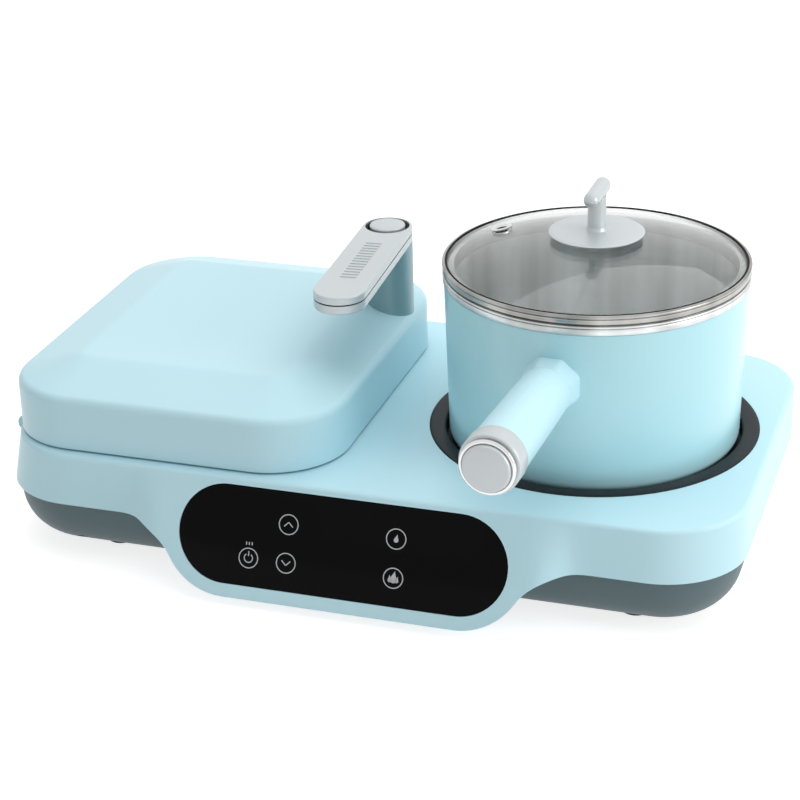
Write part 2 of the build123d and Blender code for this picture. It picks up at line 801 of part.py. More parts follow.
# Handle column, standing on the lid's right slope
arm_low = arm_top - arm_cover - arm_seam - arm_shell
seam_low = arm_low + arm_shell
cover_low = seam_low + arm_seam
column = rod(column_x, column_y, lid_shoulder_z, arm_low, column_radius) - lid_outer
column -= rod(column_x, column_y, lid_shoulder_z, arm_low, rod_bore)
column -= rod(column_x, column_y, spring_floor_z, arm_low, spring_bore)
for x, y in column_screw_spots:
    column -= rod(x, y, lid_shoulder_z, lid_top_z + column_screw_length, screw_radius + fit_gap)
parts["handle_column"] = column


# Handle arm: lower shell, dark seam and silver cover
arm_run = hypot(tip_x - column_x, tip_y - column_y)
arm_turn = Rot(0, 0, degrees(atan2(tip_y - column_y, tip_x - column_x)))


def arm_slab(shrink, z0, z1):
    """The arm's long round-ended outline between two levels."""
    start = Pos(column_x, column_y, z0) * arm_turn
    outline = Pos(arm_run / 2, 0) * SlotCenterToCenter(arm_run, 2 * (column_radius - shrink))
    return extrude(start * outline, amount=z1 - z0)


shell = arm_slab(0, arm_low, seam_low)
shell = fillet(shell.faces().sort_by(Axis.Z)[0].edges(), wall / 2)
shell -= rod(column_x, column_y, seam_low - shell_floor, seam_low, moat_radius)
shell -= rod(column_x, column_y, arm_low, seam_low, spring_bore)
parts["handle_arm_lower"] = shell
seam = arm_slab(seam_inset, seam_low, cover_low)
seam -= rod(column_x, column_y, seam_low, cover_low, moat_radius)
parts["handle_seam_strip"] = seam
cover = arm_slab(0, cover_low, arm_top)
cover = fillet(cover.faces().sort_by(Axis.Z)[-1].edges(), button_bevel)
cover -= rod(column_x, column_y, cover_low, arm_top, moat_radius)
for index in range(rib_count):
    reach = arm_run / 2 + moat_radius / 2 + (index - (rib_count - 1) / 2) * rib_pitch
    bar = Pos(reach, 0, 0) * Box(rib_width, rib_length, 2 * rib_height)
    cover += Pos(column_x, column_y, arm_top) * arm_turn * bar
parts["handle_arm_cover"] = cover
slope_here = lid_right - lid_wall - column_x - screw_head_radius
column_seat = lid_shoulder_z - lid_wall + lid_slope * slope_here - fit_gap
parts["column_screws"] = Compound([screw(x, y, column_seat, column_seat + column_screw_length)
                                   for x, y in column_screw_spots])

# Release button with its stem, and the push rod cut to a wedge at its foot
button_low = arm_top - button_thickness
button = rod(column_x, column_y, button_low, arm_top, button_radius)
button = chamfer(button.faces().sort_by(Axis.Z)[-1].edges(), button_bevel)
button -= rod(column_x, column_y, button_low, button_low + button_thickness / 2, rod_radius)
parts["release_button"] = button
push = rod(column_x, column_y, rod_end_z, button_low + button_thickness / 2, rod_radius)
wedge_x = column_x + rod_radius - wedge_start
wedge_rise = 2 * rod_radius
wedge = make_face(Plane.XZ * Polyline([
    (wedge_x, rod_end_z), (wedge_x - wedge_rise, rod_end_z + wedge_rise),
    (wedge_x - 2 * wedge_rise, rod_end_z + wedge_rise), (wedge_x - 2 * wedge_rise, rod_end_z - rod_radius),
    (wedge_x, rod_end_z - rod_radius)], close=True))
push -= Pos(0, column_y, 0) * extrude(wedge, amount=2 * rod_radius, both=True)
parts["push_rod"] = push


# Button spring, a coil of half turns
def coil(x, y, z0, z1, radius, wire, turns):
    """One unbroken wire wound in half turns, each an arc through three points of the helix."""
    halves = 2 * turns
    rise = (z1 - z0 - 2 * wire) / halves
    arcs = []
    for half in range(halves):
        points = []
        for step in (0, 0.5, 1):
            angle = pi * (half + step)
            points.append((x + radius * cos(angle), y + radius * sin(angle),
                           z0 + wire + rise * (half + step)))
        arcs.append(ThreePointArc(*points))
    path = Wire(arcs)
    profile = Plane(origin=path @ 0, z_dir=path % 0) * Circle(wire)
    return sweep(profile, path=path)


parts["button_spring"] = coil(column_x, column_y, spring_floor_z, button_low,
                              spring_radius, spring_wire, spring_turns)

# Latch slider: a plate with a ramped window, and a leg with a nose down through the deck
slider_y0 = column_y - slider_half
slider_y1 = column_y + slider_half
slider_top = slider_z + slider_thickness
leg_left = leg_right - leg_thickness
nose_top = deck_z - deck_thickness - nose_gap
slider = block(slider_left, leg_right, slider_y0, slider_y1, slider_z, slider_top)
slider += block(leg_left, leg_right, slider_y0, slider_y1, nose_top - nose_height, slider_top)
slider += block(leg_right, leg_right + nose_reach, slider_y0, slider_y1,
                nose_top - nose_height, nose_top)
gap = ramp_gap * sqrt(2)
ramp_low = wedge_x - (slider_z - rod_end_z) - gap
ramp_high = wedge_x - (slider_top - rod_end_z) - gap
window_right = column_x + rod_radius + button_travel + 2 * clearance
opening = make_face(Plane.XZ * Polyline([
    (ramp_low, slider_z), (ramp_high, slider_top), (window_right, slider_top),
    (window_right, slider_z)], close=True))
slider -= Pos(0, column_y, 0) * extrude(opening, amount=rod_radius + clearance, both=True)
parts["latch_slider"] = slider

# Latch bracket, a channel under the slider, hung from the lid
bracket_low = slider_z - fit_gap - bracket_sheet
bracket_left = slider_left - button_travel
bracket_right = leg_left - button_travel - clearance
bracket = block(bracket_left, bracket_right, slider_y0 - clearance - bracket_sheet,
                slider_y1 + clearance + bracket_sheet, bracket_low, bracket_low + bracket_sheet)
for y0 in (slider_y0 - clearance - bracket_sheet, slider_y1 + clearance):
    bracket += block(bracket_left, bracket_right, y0, y0 + bracket_sheet, bracket_low, lid_top_z)
bracket = bracket & lid_inner
bracket -= block(column_x - 2 * rod_radius, bracket_right, column_y - rod_bore, column_y + rod_bore,
                 bracket_low, bracket_low + bracket_sheet)
parts["latch_bracket"] = bracket

# Pot vessel with its rolled collar, and the base disc
disc_top = hotplate_z + base_disc_height
vessel_radius = jacket_low - jacket_sheet - fit_gap
inner_radius = vessel_radius - vessel_sheet
vessel = turned([
    (0, disc_top), (vessel_radius - jacket_corner, disc_top), (vessel_radius, disc_top + jacket_corner),
    (vessel_radius, jacket_top_z), (collar_radius, jacket_top_z), (collar_radius, collar_top_z),
    (collar_radius - collar_thickness, collar_top_z), (inner_radius, collar_top_z - collar_thickness),
    (inner_radius, disc_top + jacket_corner + vessel_sheet / 2),
    (inner_radius - jacket_corner, disc_top + vessel_sheet), (0, disc_top + vessel_sheet)], pot_x, 0)
parts["pot_vessel"] = vessel
base_disc = rod(pot_x, 0, hotplate_z, disc_top, base_disc_radius)
base_disc = chamfer(base_disc.faces().sort_by(Axis.Z)[0].edges(), base_disc_height / 4)
parts["pot_base_disc"] = base_disc

# Pot jacket
jacket_foot = disc_top - jacket_sheet
jacket_lip_z = jacket_top_z - fit_gap
jacket_shape = turned([
    (base_disc_radius + clearance, jacket_foot),
    (jacket_low - jacket_corner / 3, jacket_foot + jacket_turn),
    (jacket_low, jacket_foot + jacket_corner), (jacket_high, jacket_lip_z),
    (jacket_high - jacket_sheet, jacket_lip_z),
    (jacket_low - jacket_sheet, jacket_foot + jacket_corner),
    (jacket_low - jacket_corner, jacket_foot + jacket_sheet - fit_gap),
    (base_disc_radius + clearance, jacket_foot + jacket_sheet - fit_gap)], pot_x, 0)
parts["pot_jacket"] = jacket_shape

# Pot handle, in line with one radius of the pot
handle_dir = (cos(handle_turn), sin(handle_turn), 0)
handle_plane = Plane(origin=(pot_x, 0, handle_z), x_dir=(0, 0, 1), z_dir=handle_dir)


def handle_piece(r0, r1, radius0, radius1):
    """A straight or tapered round length of the handle between two reaches."""
    if radius0 == radius1:
        shape = Pos(0, 0, (r0 + r1) / 2) * Cylinder(radius0, r1 - r0)
    else:
        shape = Pos(0, 0, (r0 + r1) / 2) * Cone(radius0, radius1, r1 - r0)
    return handle_plane * shape


pot_bulk = turned([
    (0, jacket_foot), (jacket_low, jacket_foot + jacket_corner), (jacket_high, jacket_lip_z),
    (0, jacket_lip_z)], pot_x, 0)
socket_start = jacket_low - jacket_corner
socket_face = RegularPolygon(socket_radius, 8)
socket = handle_plane * (Pos(0, 0, socket_start) * extrude(
    socket_face, amount=socket_end - socket_start, taper=socket_taper))
socket = socket - pot_bulk
socket -= handle_piece(0, socket_end, tie_rod_radius + fit_gap, tie_rod_radius + fit_gap)
parts["pot_handle_socket"] = socket
grip = handle_piece(socket_end, grip_end, grip_root_radius, grip_end_radius)
grip -= handle_piece(socket_end + wall, grip_end, grip_root_radius - grip_wall,
                     grip_end_radius - grip_wall)
grip -= handle_piece(0, grip_end, tie_rod_radius + fit_gap, tie_rod_radius + fit_gap)
parts["pot_handle_grip"] = grip
sleeve = handle_piece(grip_end, sleeve_end, sleeve_radius, sleeve_radius)
sleeve = fillet(sleeve.edges().filter_by(GeomType.CIRCLE), button_bevel)
sleeve -= handle_piece(0, end_cap_end, tie_rod_radius + fit_gap, tie_rod_radius + fit_gap)
parts["pot_handle_sleeve"] = sleeve
ring = handle_piece(sleeve_end, handle_ring_end, handle_ring_radius, handle_ring_radius)
ring = chamfer(ring.edges().filter_by(GeomType.CIRCLE), button_bevel)
ring -= handle_piece(0, end_cap_end, tie_rod_radius + fit_gap, tie_rod_radius + fit_gap)
parts["pot_handle_ring"] = ring
end_cap = handle_piece(handle_ring_end, end_cap_end, end_cap_radius, end_cap_radius)
end_cap = fillet(end_cap.edges().filter_by(GeomType.CIRCLE), button_bevel)
parts["pot_handle_cap"] = end_cap
tie_rod = handle_piece(jacket_low + wall, handle_ring_end, tie_rod_radius, tie_rod_radius)
parts["pot_handle_rod"] = tie_rod - pot_bulk

# Glass lid: a steel rim, and a domed pane held in it
rim_inner = rim_radius - rim_width
rim_shelf_z = rim_low_z + rim_sheet
rim_foot_z = rim_low_z - rim_skirt_depth
rim = turned([
    (rim_radius, rim_low_z), (rim_radius, rim_high_z), (rim_inner, rim_high_z),
    (rim_inner, rim_shelf_z), (rim_skirt_radius - rim_sheet, rim_shelf_z),
    (rim_skirt_radius - rim_sheet, rim_foot_z), (rim_skirt_radius, rim_foot_z),
    (rim_skirt_radius, rim_low_z)], pot_x, 0)
rim = fillet(rim.edges().filter_by(
    lambda e: e.geom_type == GeomType.CIRCLE and abs(e.radius - rim_radius) < 0.01), rim_round)
parts["glass_lid_rim"] = rim
pane_radius = rim_inner - fit_gap
dome_rise = dome_top_z - pane_edge_z
dome_radius = (pane_radius ** 2 + dome_rise ** 2) / (2 * dome_rise)
dome_z = dome_top_z - dome_radius
pane = rod(pot_x, 0, rim_shelf_z, dome_top_z, pane_radius)
pane &= Pos(pot_x, 0, dome_z) * Sphere(dome_radius)
pane -= Pos(pot_x, 0, dome_z) * Sphere(dome_radius - pane_thickness)
pane = pane.solids().sort_by(Axis.Z)[-1]
eyelet_reach = hypot(*eyelet_offset)
eyelet_drop = sqrt(dome_radius ** 2 - eyelet_reach ** 2)
eyelet_normal = (eyelet_offset[0], eyelet_offset[1], eyelet_drop)
eyelet_plane = Plane(origin=(pot_x + eyelet_offset[0], eyelet_offset[1], dome_z + eyelet_drop),
                     z_dir=eyelet_normal)


def eyelet_rod(low, high, radius):
    """A cylinder square to the glass at the vent."""
    return eyelet_plane * (Pos(0, 0, (low + high) / 2) * Cylinder(radius, high - low))


dome_ball = Pos(pot_x, 0, dome_z) * Sphere(dome_radius)
pane -= eyelet_rod(-2 * pane_thickness, pane_thickness, eyelet_neck + fit_gap)
pane -= rod(pot_x, 0, rim_low_z, dome_top_z, knob_screw_radius + fit_gap)
parts["glass_pane"] = pane
eyelet = eyelet_rod(-eyelet_flange, eyelet_flange, eyelet_radius) - dome_ball
eyelet += eyelet_rod(-pane_thickness - eyelet_tail, eyelet_flange / 2, eyelet_neck)
eyelet -= eyelet_rod(-2 * pane_thickness, pane_thickness, eyelet_bore)
parts["vent_eyelet"] = eyelet

# Knob: gasket, disc, stem and cross bar, with a washer and a screw under the glass
gasket = rod(pot_x, 0, dome_top_z - gasket_drop, knob_disc_z, gasket_radius) - dome_ball
gasket -= rod(pot_x, 0, dome_z, knob_disc_z, knob_screw_radius + fit_gap)
parts["knob_gasket"] = gasket
disc_high = knob_disc_z + knob_disc_thickness
disc = rod(pot_x, 0, knob_disc_z, disc_high, knob_disc_radius)
disc = fillet(disc.faces().sort_by(Axis.Z)[-1].edges(), knob_disc_thickness * 0.6)
disc -= rod(pot_x, 0, knob_disc_z, disc_high, knob_screw_radius + fit_gap)
parts["knob_disc"] = disc
bar = Pos(pot_x, 0, bar_z) * Rot(90, 0, 0) * Cylinder(bar_radius, 2 * (bar_half - bar_radius))
for side in (-1, 1):
    bar += Pos(pot_x, side * (bar_half - bar_radius), bar_z) * Sphere(bar_radius)
parts["knob_bar"] = bar
stem = rod(pot_x, 0, disc_high, bar_z, stem_radius)
stem -= Pos(pot_x, 0, bar_z) * Rot(90, 0, 0) * Cylinder(bar_radius, 2 * bar_half)
stem -= rod(pot_x, 0, disc_high, disc_high + knob_screw_hole, knob_screw_radius + fit_gap)
parts["knob_stem"] = stem
under_z = dome_top_z - pane_thickness
inner_ball = Pos(pot_x, 0, dome_z) * Sphere(dome_radius - pane_thickness)
washer_low = under_z - knob_washer_drop
washer = rod(pot_x, 0, washer_low, under_z, knob_washer_radius) & inner_ball
washer -= rod(pot_x, 0, washer_low, under_z, knob_screw_radius + fit_gap)
parts["knob_washer"] = washer
knob_screw = rod(pot_x, 0, washer_low, disc_high + knob_screw_reach, knob_screw_radius)
knob_screw += rod(pot_x, 0, washer_low - knob_head_height, washer_low, 2 * knob_screw_radius)
parts["knob_screw"] = knob_screw

# Power board on four standoffs, and what is soldered to it
board_top = board_z + board_thickness
parts["power_board"] = block(grill_x - board_width / 2, grill_x + board_width / 2,
                             -board_depth / 2, board_depth / 2, board_z, board_top)


def board_box(dx, dy, width, depth, height):
    """A boxed component with softened corners, standing on the board."""
    return slab(grill_x + dx, dy, width, depth, component_corner, board_top, board_top + height)


components = [board_box(*box) for box in component_boxes]
for dx, dy in capacitor_spots:
    components.append(rod(grill_x + dx, dy, board_top, board_top + capacitor_height,
                          capacitor_radius))
parts["board_components"] = Compound(components)

# Cord gland through the back of the band
gland = gland_axis * (Pos(0, 0, gland_flange_sheet / 2) * Cylinder(gland_flange,
                                                                  gland_flange_sheet))
gland += gland_axis * (Pos(0, 0, (gland_out - gland_in) / 2) * Cylinder(
    gland_neck, gland_out + gland_in))
gland -= gland_axis * Cylinder(gland_bore, 4 * (gland_out + gland_in))
parts["cord_gland"] = gland

# Terminal block on the tub's floor, inside the gland
terminal_y = tub_half_depth - tub_round - terminal_depth / 2
terminal = slab(gland_x, terminal_y, terminal_width, terminal_depth, terminal_corner, floor_z,
                floor_z + terminal_height)
for index in (-1, 0, 1):
    terminal -= rod(gland_x + index * terminal_pitch, terminal_y, floor_z + terminal_height / 2,
                    floor_z + terminal_height, terminal_hole)
parts["terminal_block"] = terminal

# The model's own origin is the middle of its footprint, on the bench
whole = Compound(list(parts.values()))
extent = whole.bounding_box()
origin_shift = Vector(-(extent.min.X + extent.max.X) / 2, -(extent.min.Y + extent.max.Y) / 2,
                      -extent.min.Z)

os.makedirs("parts", exist_ok=True)
for name, piece in parts.items():
    export_step(piece.moved(Location(origin_shift)), f"parts/{name}.step")
print("origin shift", origin_shift, "size", extent.size)
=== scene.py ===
from math import atan2, copysign, cos, pi, radians, sin, sqrt

import bpy
from mathutils import Matrix, Vector


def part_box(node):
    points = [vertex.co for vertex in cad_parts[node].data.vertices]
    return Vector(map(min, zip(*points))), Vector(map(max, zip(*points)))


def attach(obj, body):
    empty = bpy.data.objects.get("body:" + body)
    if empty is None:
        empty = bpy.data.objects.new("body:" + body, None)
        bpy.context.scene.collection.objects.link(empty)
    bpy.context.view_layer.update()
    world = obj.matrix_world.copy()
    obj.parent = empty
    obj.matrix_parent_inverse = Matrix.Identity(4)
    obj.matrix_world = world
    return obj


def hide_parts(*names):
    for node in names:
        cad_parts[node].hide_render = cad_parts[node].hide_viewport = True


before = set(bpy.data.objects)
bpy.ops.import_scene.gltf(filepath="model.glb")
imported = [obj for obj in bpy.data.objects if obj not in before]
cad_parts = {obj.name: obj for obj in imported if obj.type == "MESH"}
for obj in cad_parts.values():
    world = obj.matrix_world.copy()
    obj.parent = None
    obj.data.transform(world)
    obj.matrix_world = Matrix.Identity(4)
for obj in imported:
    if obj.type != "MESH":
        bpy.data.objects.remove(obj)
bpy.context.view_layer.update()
bpy.ops.object.select_all(action="DESELECT")

# Camera: a long lens on the photographer's side, a little above and to the right.
# Its place is measured from the hotplate's centre, at the level of the deck.
ring_low, ring_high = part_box("hotplate_ring")
ring_crown = 0.0006
hob = Vector(((ring_low.x + ring_high.x) / 2, (ring_low.y + ring_high.y) / 2,
              ring_high.z - ring_crown))
camera_reach = Vector((0.24216, -1.05014, 0.51142))
camera_turn = radians(18.626)
camera_tilt = radians(90 - 24.786)
camera_roll = radians(-1.495)
camera_lens = 97.48
bpy.ops.object.camera_add(location=hob + camera_reach)
camera = bpy.context.object
turn = Matrix.Rotation(camera_turn, 3, "Z") @ Matrix.Rotation(camera_tilt, 3, "X")
camera.rotation_euler = (turn @ Matrix.Rotation(camera_roll, 3, "Z")).to_euler()
camera.data.lens = camera_lens
camera.data.sensor_width = 36
bpy.context.scene.camera = camera

# Floor: a wide pale sheet that shows white to the camera and keeps a soft shadow.
# The world is a pale room that lights the object evenly from all round.
floor_size = 8
floor_white = 0.78
floor_grey = 0.55
bpy.ops.mesh.primitive_plane_add(size=floor_size)
floor = bpy.context.object
floor.name = "floor"


def unlit(tree):
    """One where a ray comes from the camera, a gloss or through glass, and zero elsewhere."""
    path = tree.nodes.new("ShaderNodeLightPath")
    total = path.outputs["Is Camera Ray"]
    for ray in ("Is Glossy Ray", "Is Transmission Ray"):
        either = tree.nodes.new("ShaderNodeMath")
        either.operation = "MAXIMUM"
        tree.links.new(total, either.inputs[0])
        tree.links.new(path.outputs[ray], either.inputs[1])
        total = either.outputs[0]
    return total


sheet = bpy.data.materials.new("pale_floor")
sheet.use_nodes = True
tree = sheet.node_tree
matte = tree.nodes["Principled BSDF"]
matte.inputs["Base Color"].default_value = (0.9, 0.9, 0.9, 1)
matte.inputs["Roughness"].default_value = 0.9
matte.inputs["Specular IOR Level"].default_value = 0.1
shaded = tree.nodes.new("ShaderNodeBsdfDiffuse")
shaded.inputs["Color"].default_value = (floor_grey, floor_grey, floor_grey, 1)
white = tree.nodes.new("ShaderNodeEmission")
white.inputs["Strength"].default_value = floor_white
both = tree.nodes.new("ShaderNodeAddShader")
blend = tree.nodes.new("ShaderNodeMixShader")
tree.links.new(shaded.outputs[0], both.inputs[0])
tree.links.new(white.outputs[0], both.inputs[1])
tree.links.new(unlit(tree), blend.inputs["Fac"])
tree.links.new(matte.outputs[0], blend.inputs[1])
tree.links.new(both.outputs[0], blend.inputs[2])
tree.links.new(blend.outputs[0], tree.nodes["Material Output"].inputs["Surface"])
floor.data.materials.append(sheet)

world = bpy.data.worlds.new("pale_room")
bpy.context.scene.world = world
world.use_nodes = True
tree = world.node_tree
room_level = 0.34
room = tree.nodes["Background"]
room.inputs["Color"].default_value = (1, 1, 1, 1)
room.inputs["Strength"].default_value = room_level
sky = tree.nodes.new("ShaderNodeBackground")
sky.inputs["Color"].default_value = (1, 1, 1, 1)
sky.inputs["Strength"].default_value = 1.0
blend = tree.nodes.new("ShaderNodeMixShader")
tree.links.new(unlit(tree), blend.inputs["Fac"])
tree.links.new(room.outputs[0], blend.inputs[1])
tree.links.new(sky.outputs[0], blend.inputs[2])
tree.links.new(blend.outputs[0], tree.nodes["World Output"].inputs["Surface"])


# Studio lights: a big soft panel overhead, a smaller one at the right and a weak one in front.
# Each is a plain white square lamp that faces the middle of the object. The overhead one
# leaves no image of itself on glass or gloss.
lamp_target = Vector((0, 0, 0.08))


def soft_lamp(name, place, size, power):
    """A square soft light that faces the object."""
    bpy.ops.object.light_add(type="AREA", location=place)
    lamp = bpy.context.object
    lamp.name = name
    lamp.data.shape = "SQUARE"
    lamp.data.size = size
    lamp.data.energy = power
    aim = lamp_target - Vector(place)
    lamp.rotation_euler = aim.to_track_quat("-Z", "Y").to_euler()
    return lamp


overhead = soft_lamp("overhead_panel", (0.3, 0.3, 1.6), 2.4, 27)
overhead.visible_glossy = False
soft_lamp("right_panel", (1.6, -0.2, 0.6), 0.8, 9)
soft_lamp("front_panel", (-0.5, -1.8, 0.9), 1.0, 0.5)
bpy.context.scene.view_settings.view_transform = "Standard"


# Base housing: the pale blue deck, band and front tongue are one ABS moulding.
# It drops over the tub and is screwed from below. The same plastic makes the lid.
def group(name, inputs, outputs):
    """A node group with named sockets: (name, kind, default) for each input."""
    tree = bpy.data.node_groups.new(name, "ShaderNodeTree")
    for label, kind, value in inputs:
        socket = tree.interface.new_socket(label, in_out="INPUT", socket_type=kind)
        socket.default_value = value
    for label, kind in outputs:
        tree.interface.new_socket(label, in_out="OUTPUT", socket_type=kind)
    return tree, tree.nodes.new("NodeGroupInput"), tree.nodes.new("NodeGroupOutput")


def math_node(tree, operation, first, second):
    """A maths node fed by sockets or numbers."""
    node = tree.nodes.new("ShaderNodeMath")
    node.operation = operation
    for index, value in enumerate((first, second)):
        if isinstance(value, (int, float)):
            node.inputs[index].default_value = value
        else:
            tree.links.new(value, node.inputs[index])
    return node.outputs[0]


COLOUR, NUMBER, VECTOR = "NodeSocketColor", "NodeSocketFloat", "NodeSocketVector"


def finish_outputs(tree, start, end, tone, rough, height, distance):
    """Ends a finish: the tone shifts the colour, rough shifts the roughness, height bumps."""
    mix = tree.nodes.new("ShaderNodeMix")
    mix.data_type = "RGBA"
    mix.blend_type = "MULTIPLY"
    mix.inputs["Factor"].default_value = 1
    shade = tree.nodes.new("ShaderNodeCombineColor")
    for channel in ("Red", "Green", "Blue"):
        tree.links.new(tone, shade.inputs[channel])
    tree.links.new(start.outputs["Colour"], mix.inputs["A"])
    tree.links.new(shade.outputs[0], mix.inputs["B"])
    tree.links.new(mix.outputs["Result"], end.inputs["Colour"])
    tree.links.new(math_node(tree, "ADD", start.outputs["Roughness"], rough),
                   end.inputs["Roughness"])
    bump = tree.nodes.new("ShaderNodeBump")
    bump.inputs["Distance"].default_value = distance
    tree.links.new(height, bump.inputs["Height"])
    tree.links.new(start.outputs["Depth"], bump.inputs["Strength"])
    tree.links.new(bump.outputs["Normal"], end.inputs["Normal"])


def noise(tree, vector, scale, detail=2.0):
    """A noise texture on a vector, with a scale from a socket or a number."""
    node = tree.nodes.new("ShaderNodeTexNoise")
    node.inputs["Detail"].default_value = detail
    tree.links.new(vector, node.inputs["Vector"])
    if isinstance(scale, (int, float)):
        node.inputs["Scale"].default_value = scale
    else:
        tree.links.new(scale, node.inputs["Scale"])
    return node.outputs["Fac"]


def centred(tree, value, spread):
    """A noise value turned into a swing of the given spread about zero."""
    return math_node(tree, "MULTIPLY", math_node(tree, "SUBTRACT", value, 0.5), spread)


finish_sockets = [("Colour", COLOUR, (0.8, 0.8, 0.8, 1)), ("Roughness", NUMBER, 0.4),
                  ("Grain", NUMBER, 900.0), ("Depth", NUMBER, 0.1), ("Mottle", NUMBER, 0.03)]
finish_results = [("Colour", COLOUR), ("Roughness", NUMBER), ("Normal", VECTOR)]

# The moulded finish: a fine grain with a faint slow mottle in tone and gloss.
mottle_scale = 14.0
grain_gloss = 0.05
grain_height = 0.0004
moulded, start, end = group("moulded_finish", finish_sockets, finish_results)
place = moulded.nodes.new("ShaderNodeTexCoord").outputs["Object"]
fine = noise(moulded, place, start.outputs["Grain"], 3.0)
slow = noise(moulded, place, mottle_scale)
swing = centred(moulded, slow, start.outputs["Mottle"])
tone = math_node(moulded, "ADD", swing, 1.0)
rough = math_node(moulded, "ADD", swing, centred(moulded, fine, grain_gloss))
finish_outputs(moulded, start, end, tone, rough, fine, grain_height)


def dressed(name, finish, colour, roughness, metallic=0.0, settings=None, **amounts):
    """A material: a Principled shader fed by one finish group with its own amounts."""
    material = bpy.data.materials.new(name)
    material.use_nodes = True
    tree = material.node_tree
    surface = tree.nodes["Principled BSDF"]
    surface.inputs["Metallic"].default_value = metallic
    for socket, value in (settings or {}).items():
        surface.inputs[socket].default_value = value
    effect = tree.nodes.new("ShaderNodeGroup")
    effect.node_tree = finish
    effect.inputs["Colour"].default_value = (*colour, 1)
    effect.inputs["Roughness"].default_value = roughness
    for socket, value in amounts.items():
        effect.inputs[socket].default_value = value
    tree.links.new(effect.outputs["Colour"], surface.inputs["Base Color"])
    tree.links.new(effect.outputs["Roughness"], surface.inputs["Roughness"])
    tree.links.new(effect.outputs["Normal"], surface.inputs["Normal"])
    return material


def wear(material, *names):
    """Gives CAD nodes this material."""
    for name in names:
        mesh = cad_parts[name].data
        mesh.materials.clear()
        mesh.materials.append(material)


pale_blue = (0.57, 0.835, 0.915)
pale_plastic = dressed("pale_blue_plastic", moulded, pale_blue, 0.34, Grain=1400.0, Depth=0.06,
                       Mottle=0.02, settings={"Specular IOR Level": 0.25})
wear(pale_plastic, "base_housing")

# Bottom tub: slate grey polypropylene bowl with a fine moulded grain.
# It stands on four rubber feet that push into its floor.
slate = dressed("slate_plastic", moulded, (0.085, 0.135, 0.148), 0.48, Grain=1500.0, Depth=0.2,
                Mottle=0.05)
wear(slate, "bottom_tub")
rubber = dressed("foot_rubber", moulded, (0.02, 0.022, 0.022), 0.75, Grain=2200.0, Depth=0.3,
                 Mottle=0.1)
wear(rubber, "rubber_feet")

# Control window: a black glass plate with bevelled edges, let into the tongue.
# The marks are printed on it: two arrows, a power sign, a small and a large flame.
gloss_black = dressed("window_black", moulded, (0.002, 0.002, 0.0025), 0.12, Grain=300.0,
                      Depth=0.0, Mottle=0.01, settings={"Specular IOR Level": 0.05})
print_grey = dressed("mark_print", moulded, (0.50, 0.52, 0.53), 0.5, Grain=3000.0, Depth=0.05,
                     Mottle=0.05)
mark_tilt = radians(19.5)
mark_radius = 0.0055
mark_line = 0.00055
mark_thickness = 0.00006
base_depth = 0.231
housing_low, housing_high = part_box("base_housing")
window_low, window_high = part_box("control_window")
fold = Vector(((window_low.x + window_high.x) / 2, housing_high.y - base_depth, hob.z))
down_slope = Vector((0, -sin(mark_tilt), -cos(mark_tilt)))
window_normal = Vector((0, -cos(mark_tilt), sin(mark_tilt)))


def laid_on_window(x, slope):
    """The turn and place of something flat at one spot of the window's face."""
    spot = fold + Vector((x, 0, 0)) + down_slope * slope
    axes = Matrix((Vector((1, 0, 0)), -down_slope, window_normal)).transposed().to_4x4()
    return Matrix.Translation(spot) @ axes


def edit(action):
    """Runs a step in edit mode on the active piece."""
    bpy.ops.object.mode_set(mode="EDIT")
    bpy.ops.mesh.select_all(action="SELECT")
    action()
    bpy.ops.object.mode_set(mode="OBJECT")


def flat_ring(radius, line):
    """A flat printed ring at the origin."""
    bpy.ops.mesh.primitive_circle_add(vertices=64, radius=radius, fill_type="NGON")
    ring = bpy.context.object
    edit(lambda: (bpy.ops.mesh.inset(thickness=line), bpy.ops.mesh.delete(type="FACE")))
    return ring


def flat_bar(x, y, length, line, angle):
    """A flat printed stroke."""
    bpy.ops.mesh.primitive_plane_add(size=1, location=(x, y, 0), rotation=(0, 0, angle))
    bar = bpy.context.object
    bar.scale = (length, line, 1)
    bpy.ops.object.transform_apply()
    return bar


def flat_arc(radius, line, gap):
    """A flat printed ring that is open at its top."""
    arc = flat_ring(radius, line)
    bpy.ops.object.mode_set(mode="EDIT")
    bpy.ops.mesh.select_all(action="DESELECT")
    bpy.ops.object.mode_set(mode="OBJECT")
    for face in arc.data.polygons:
        face.select = abs(atan2(face.center.x, face.center.y)) < gap
    bpy.ops.object.mode_set(mode="EDIT")
    bpy.ops.mesh.select_mode(type="FACE")
    bpy.ops.mesh.delete(type="FACE")
    bpy.ops.object.mode_set(mode="OBJECT")
    return arc


def flat_flame(x, y, height, lean):
    """A flat printed flame: a drop whose tip leans over to one side."""
    belly = height * 0.34
    bpy.ops.mesh.primitive_circle_add(vertices=40, radius=belly, fill_type="NGON")
    flame = bpy.context.object
    for vertex in flame.data.vertices:
        rise = max(vertex.co.y, 0) / belly
        vertex.co.x *= 1 - 0.95 * rise ** 1.5
        vertex.co.x += lean * height * rise ** 2
        vertex.co.y += 0.5 * height * rise ** 1.6 - 0.16 * height
    flame.data.transform(Matrix.Translation((x, y, 0)))
    return flame


def printed(name, strokes, x, slope):
    """Joins strokes into one mark, gives it its ink's thickness and lays it on the window."""
    bpy.ops.object.select_all(action="DESELECT")
    for stroke in strokes:
        stroke.select_set(True)
    bpy.context.view_layer.objects.active = strokes[0]
    bpy.ops.object.join()
    mark = bpy.context.object
    mark.name = name
    ink = mark.modifiers.new("ink", "SOLIDIFY")
    ink.thickness = mark_thickness
    ink.offset = 1
    bpy.ops.object.modifier_apply(modifier="ink")
    mark.data.transform(laid_on_window(x, slope))
    mark.data.materials.append(print_grey)
    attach(mark, "base")
    bpy.ops.object.select_all(action="DESELECT")


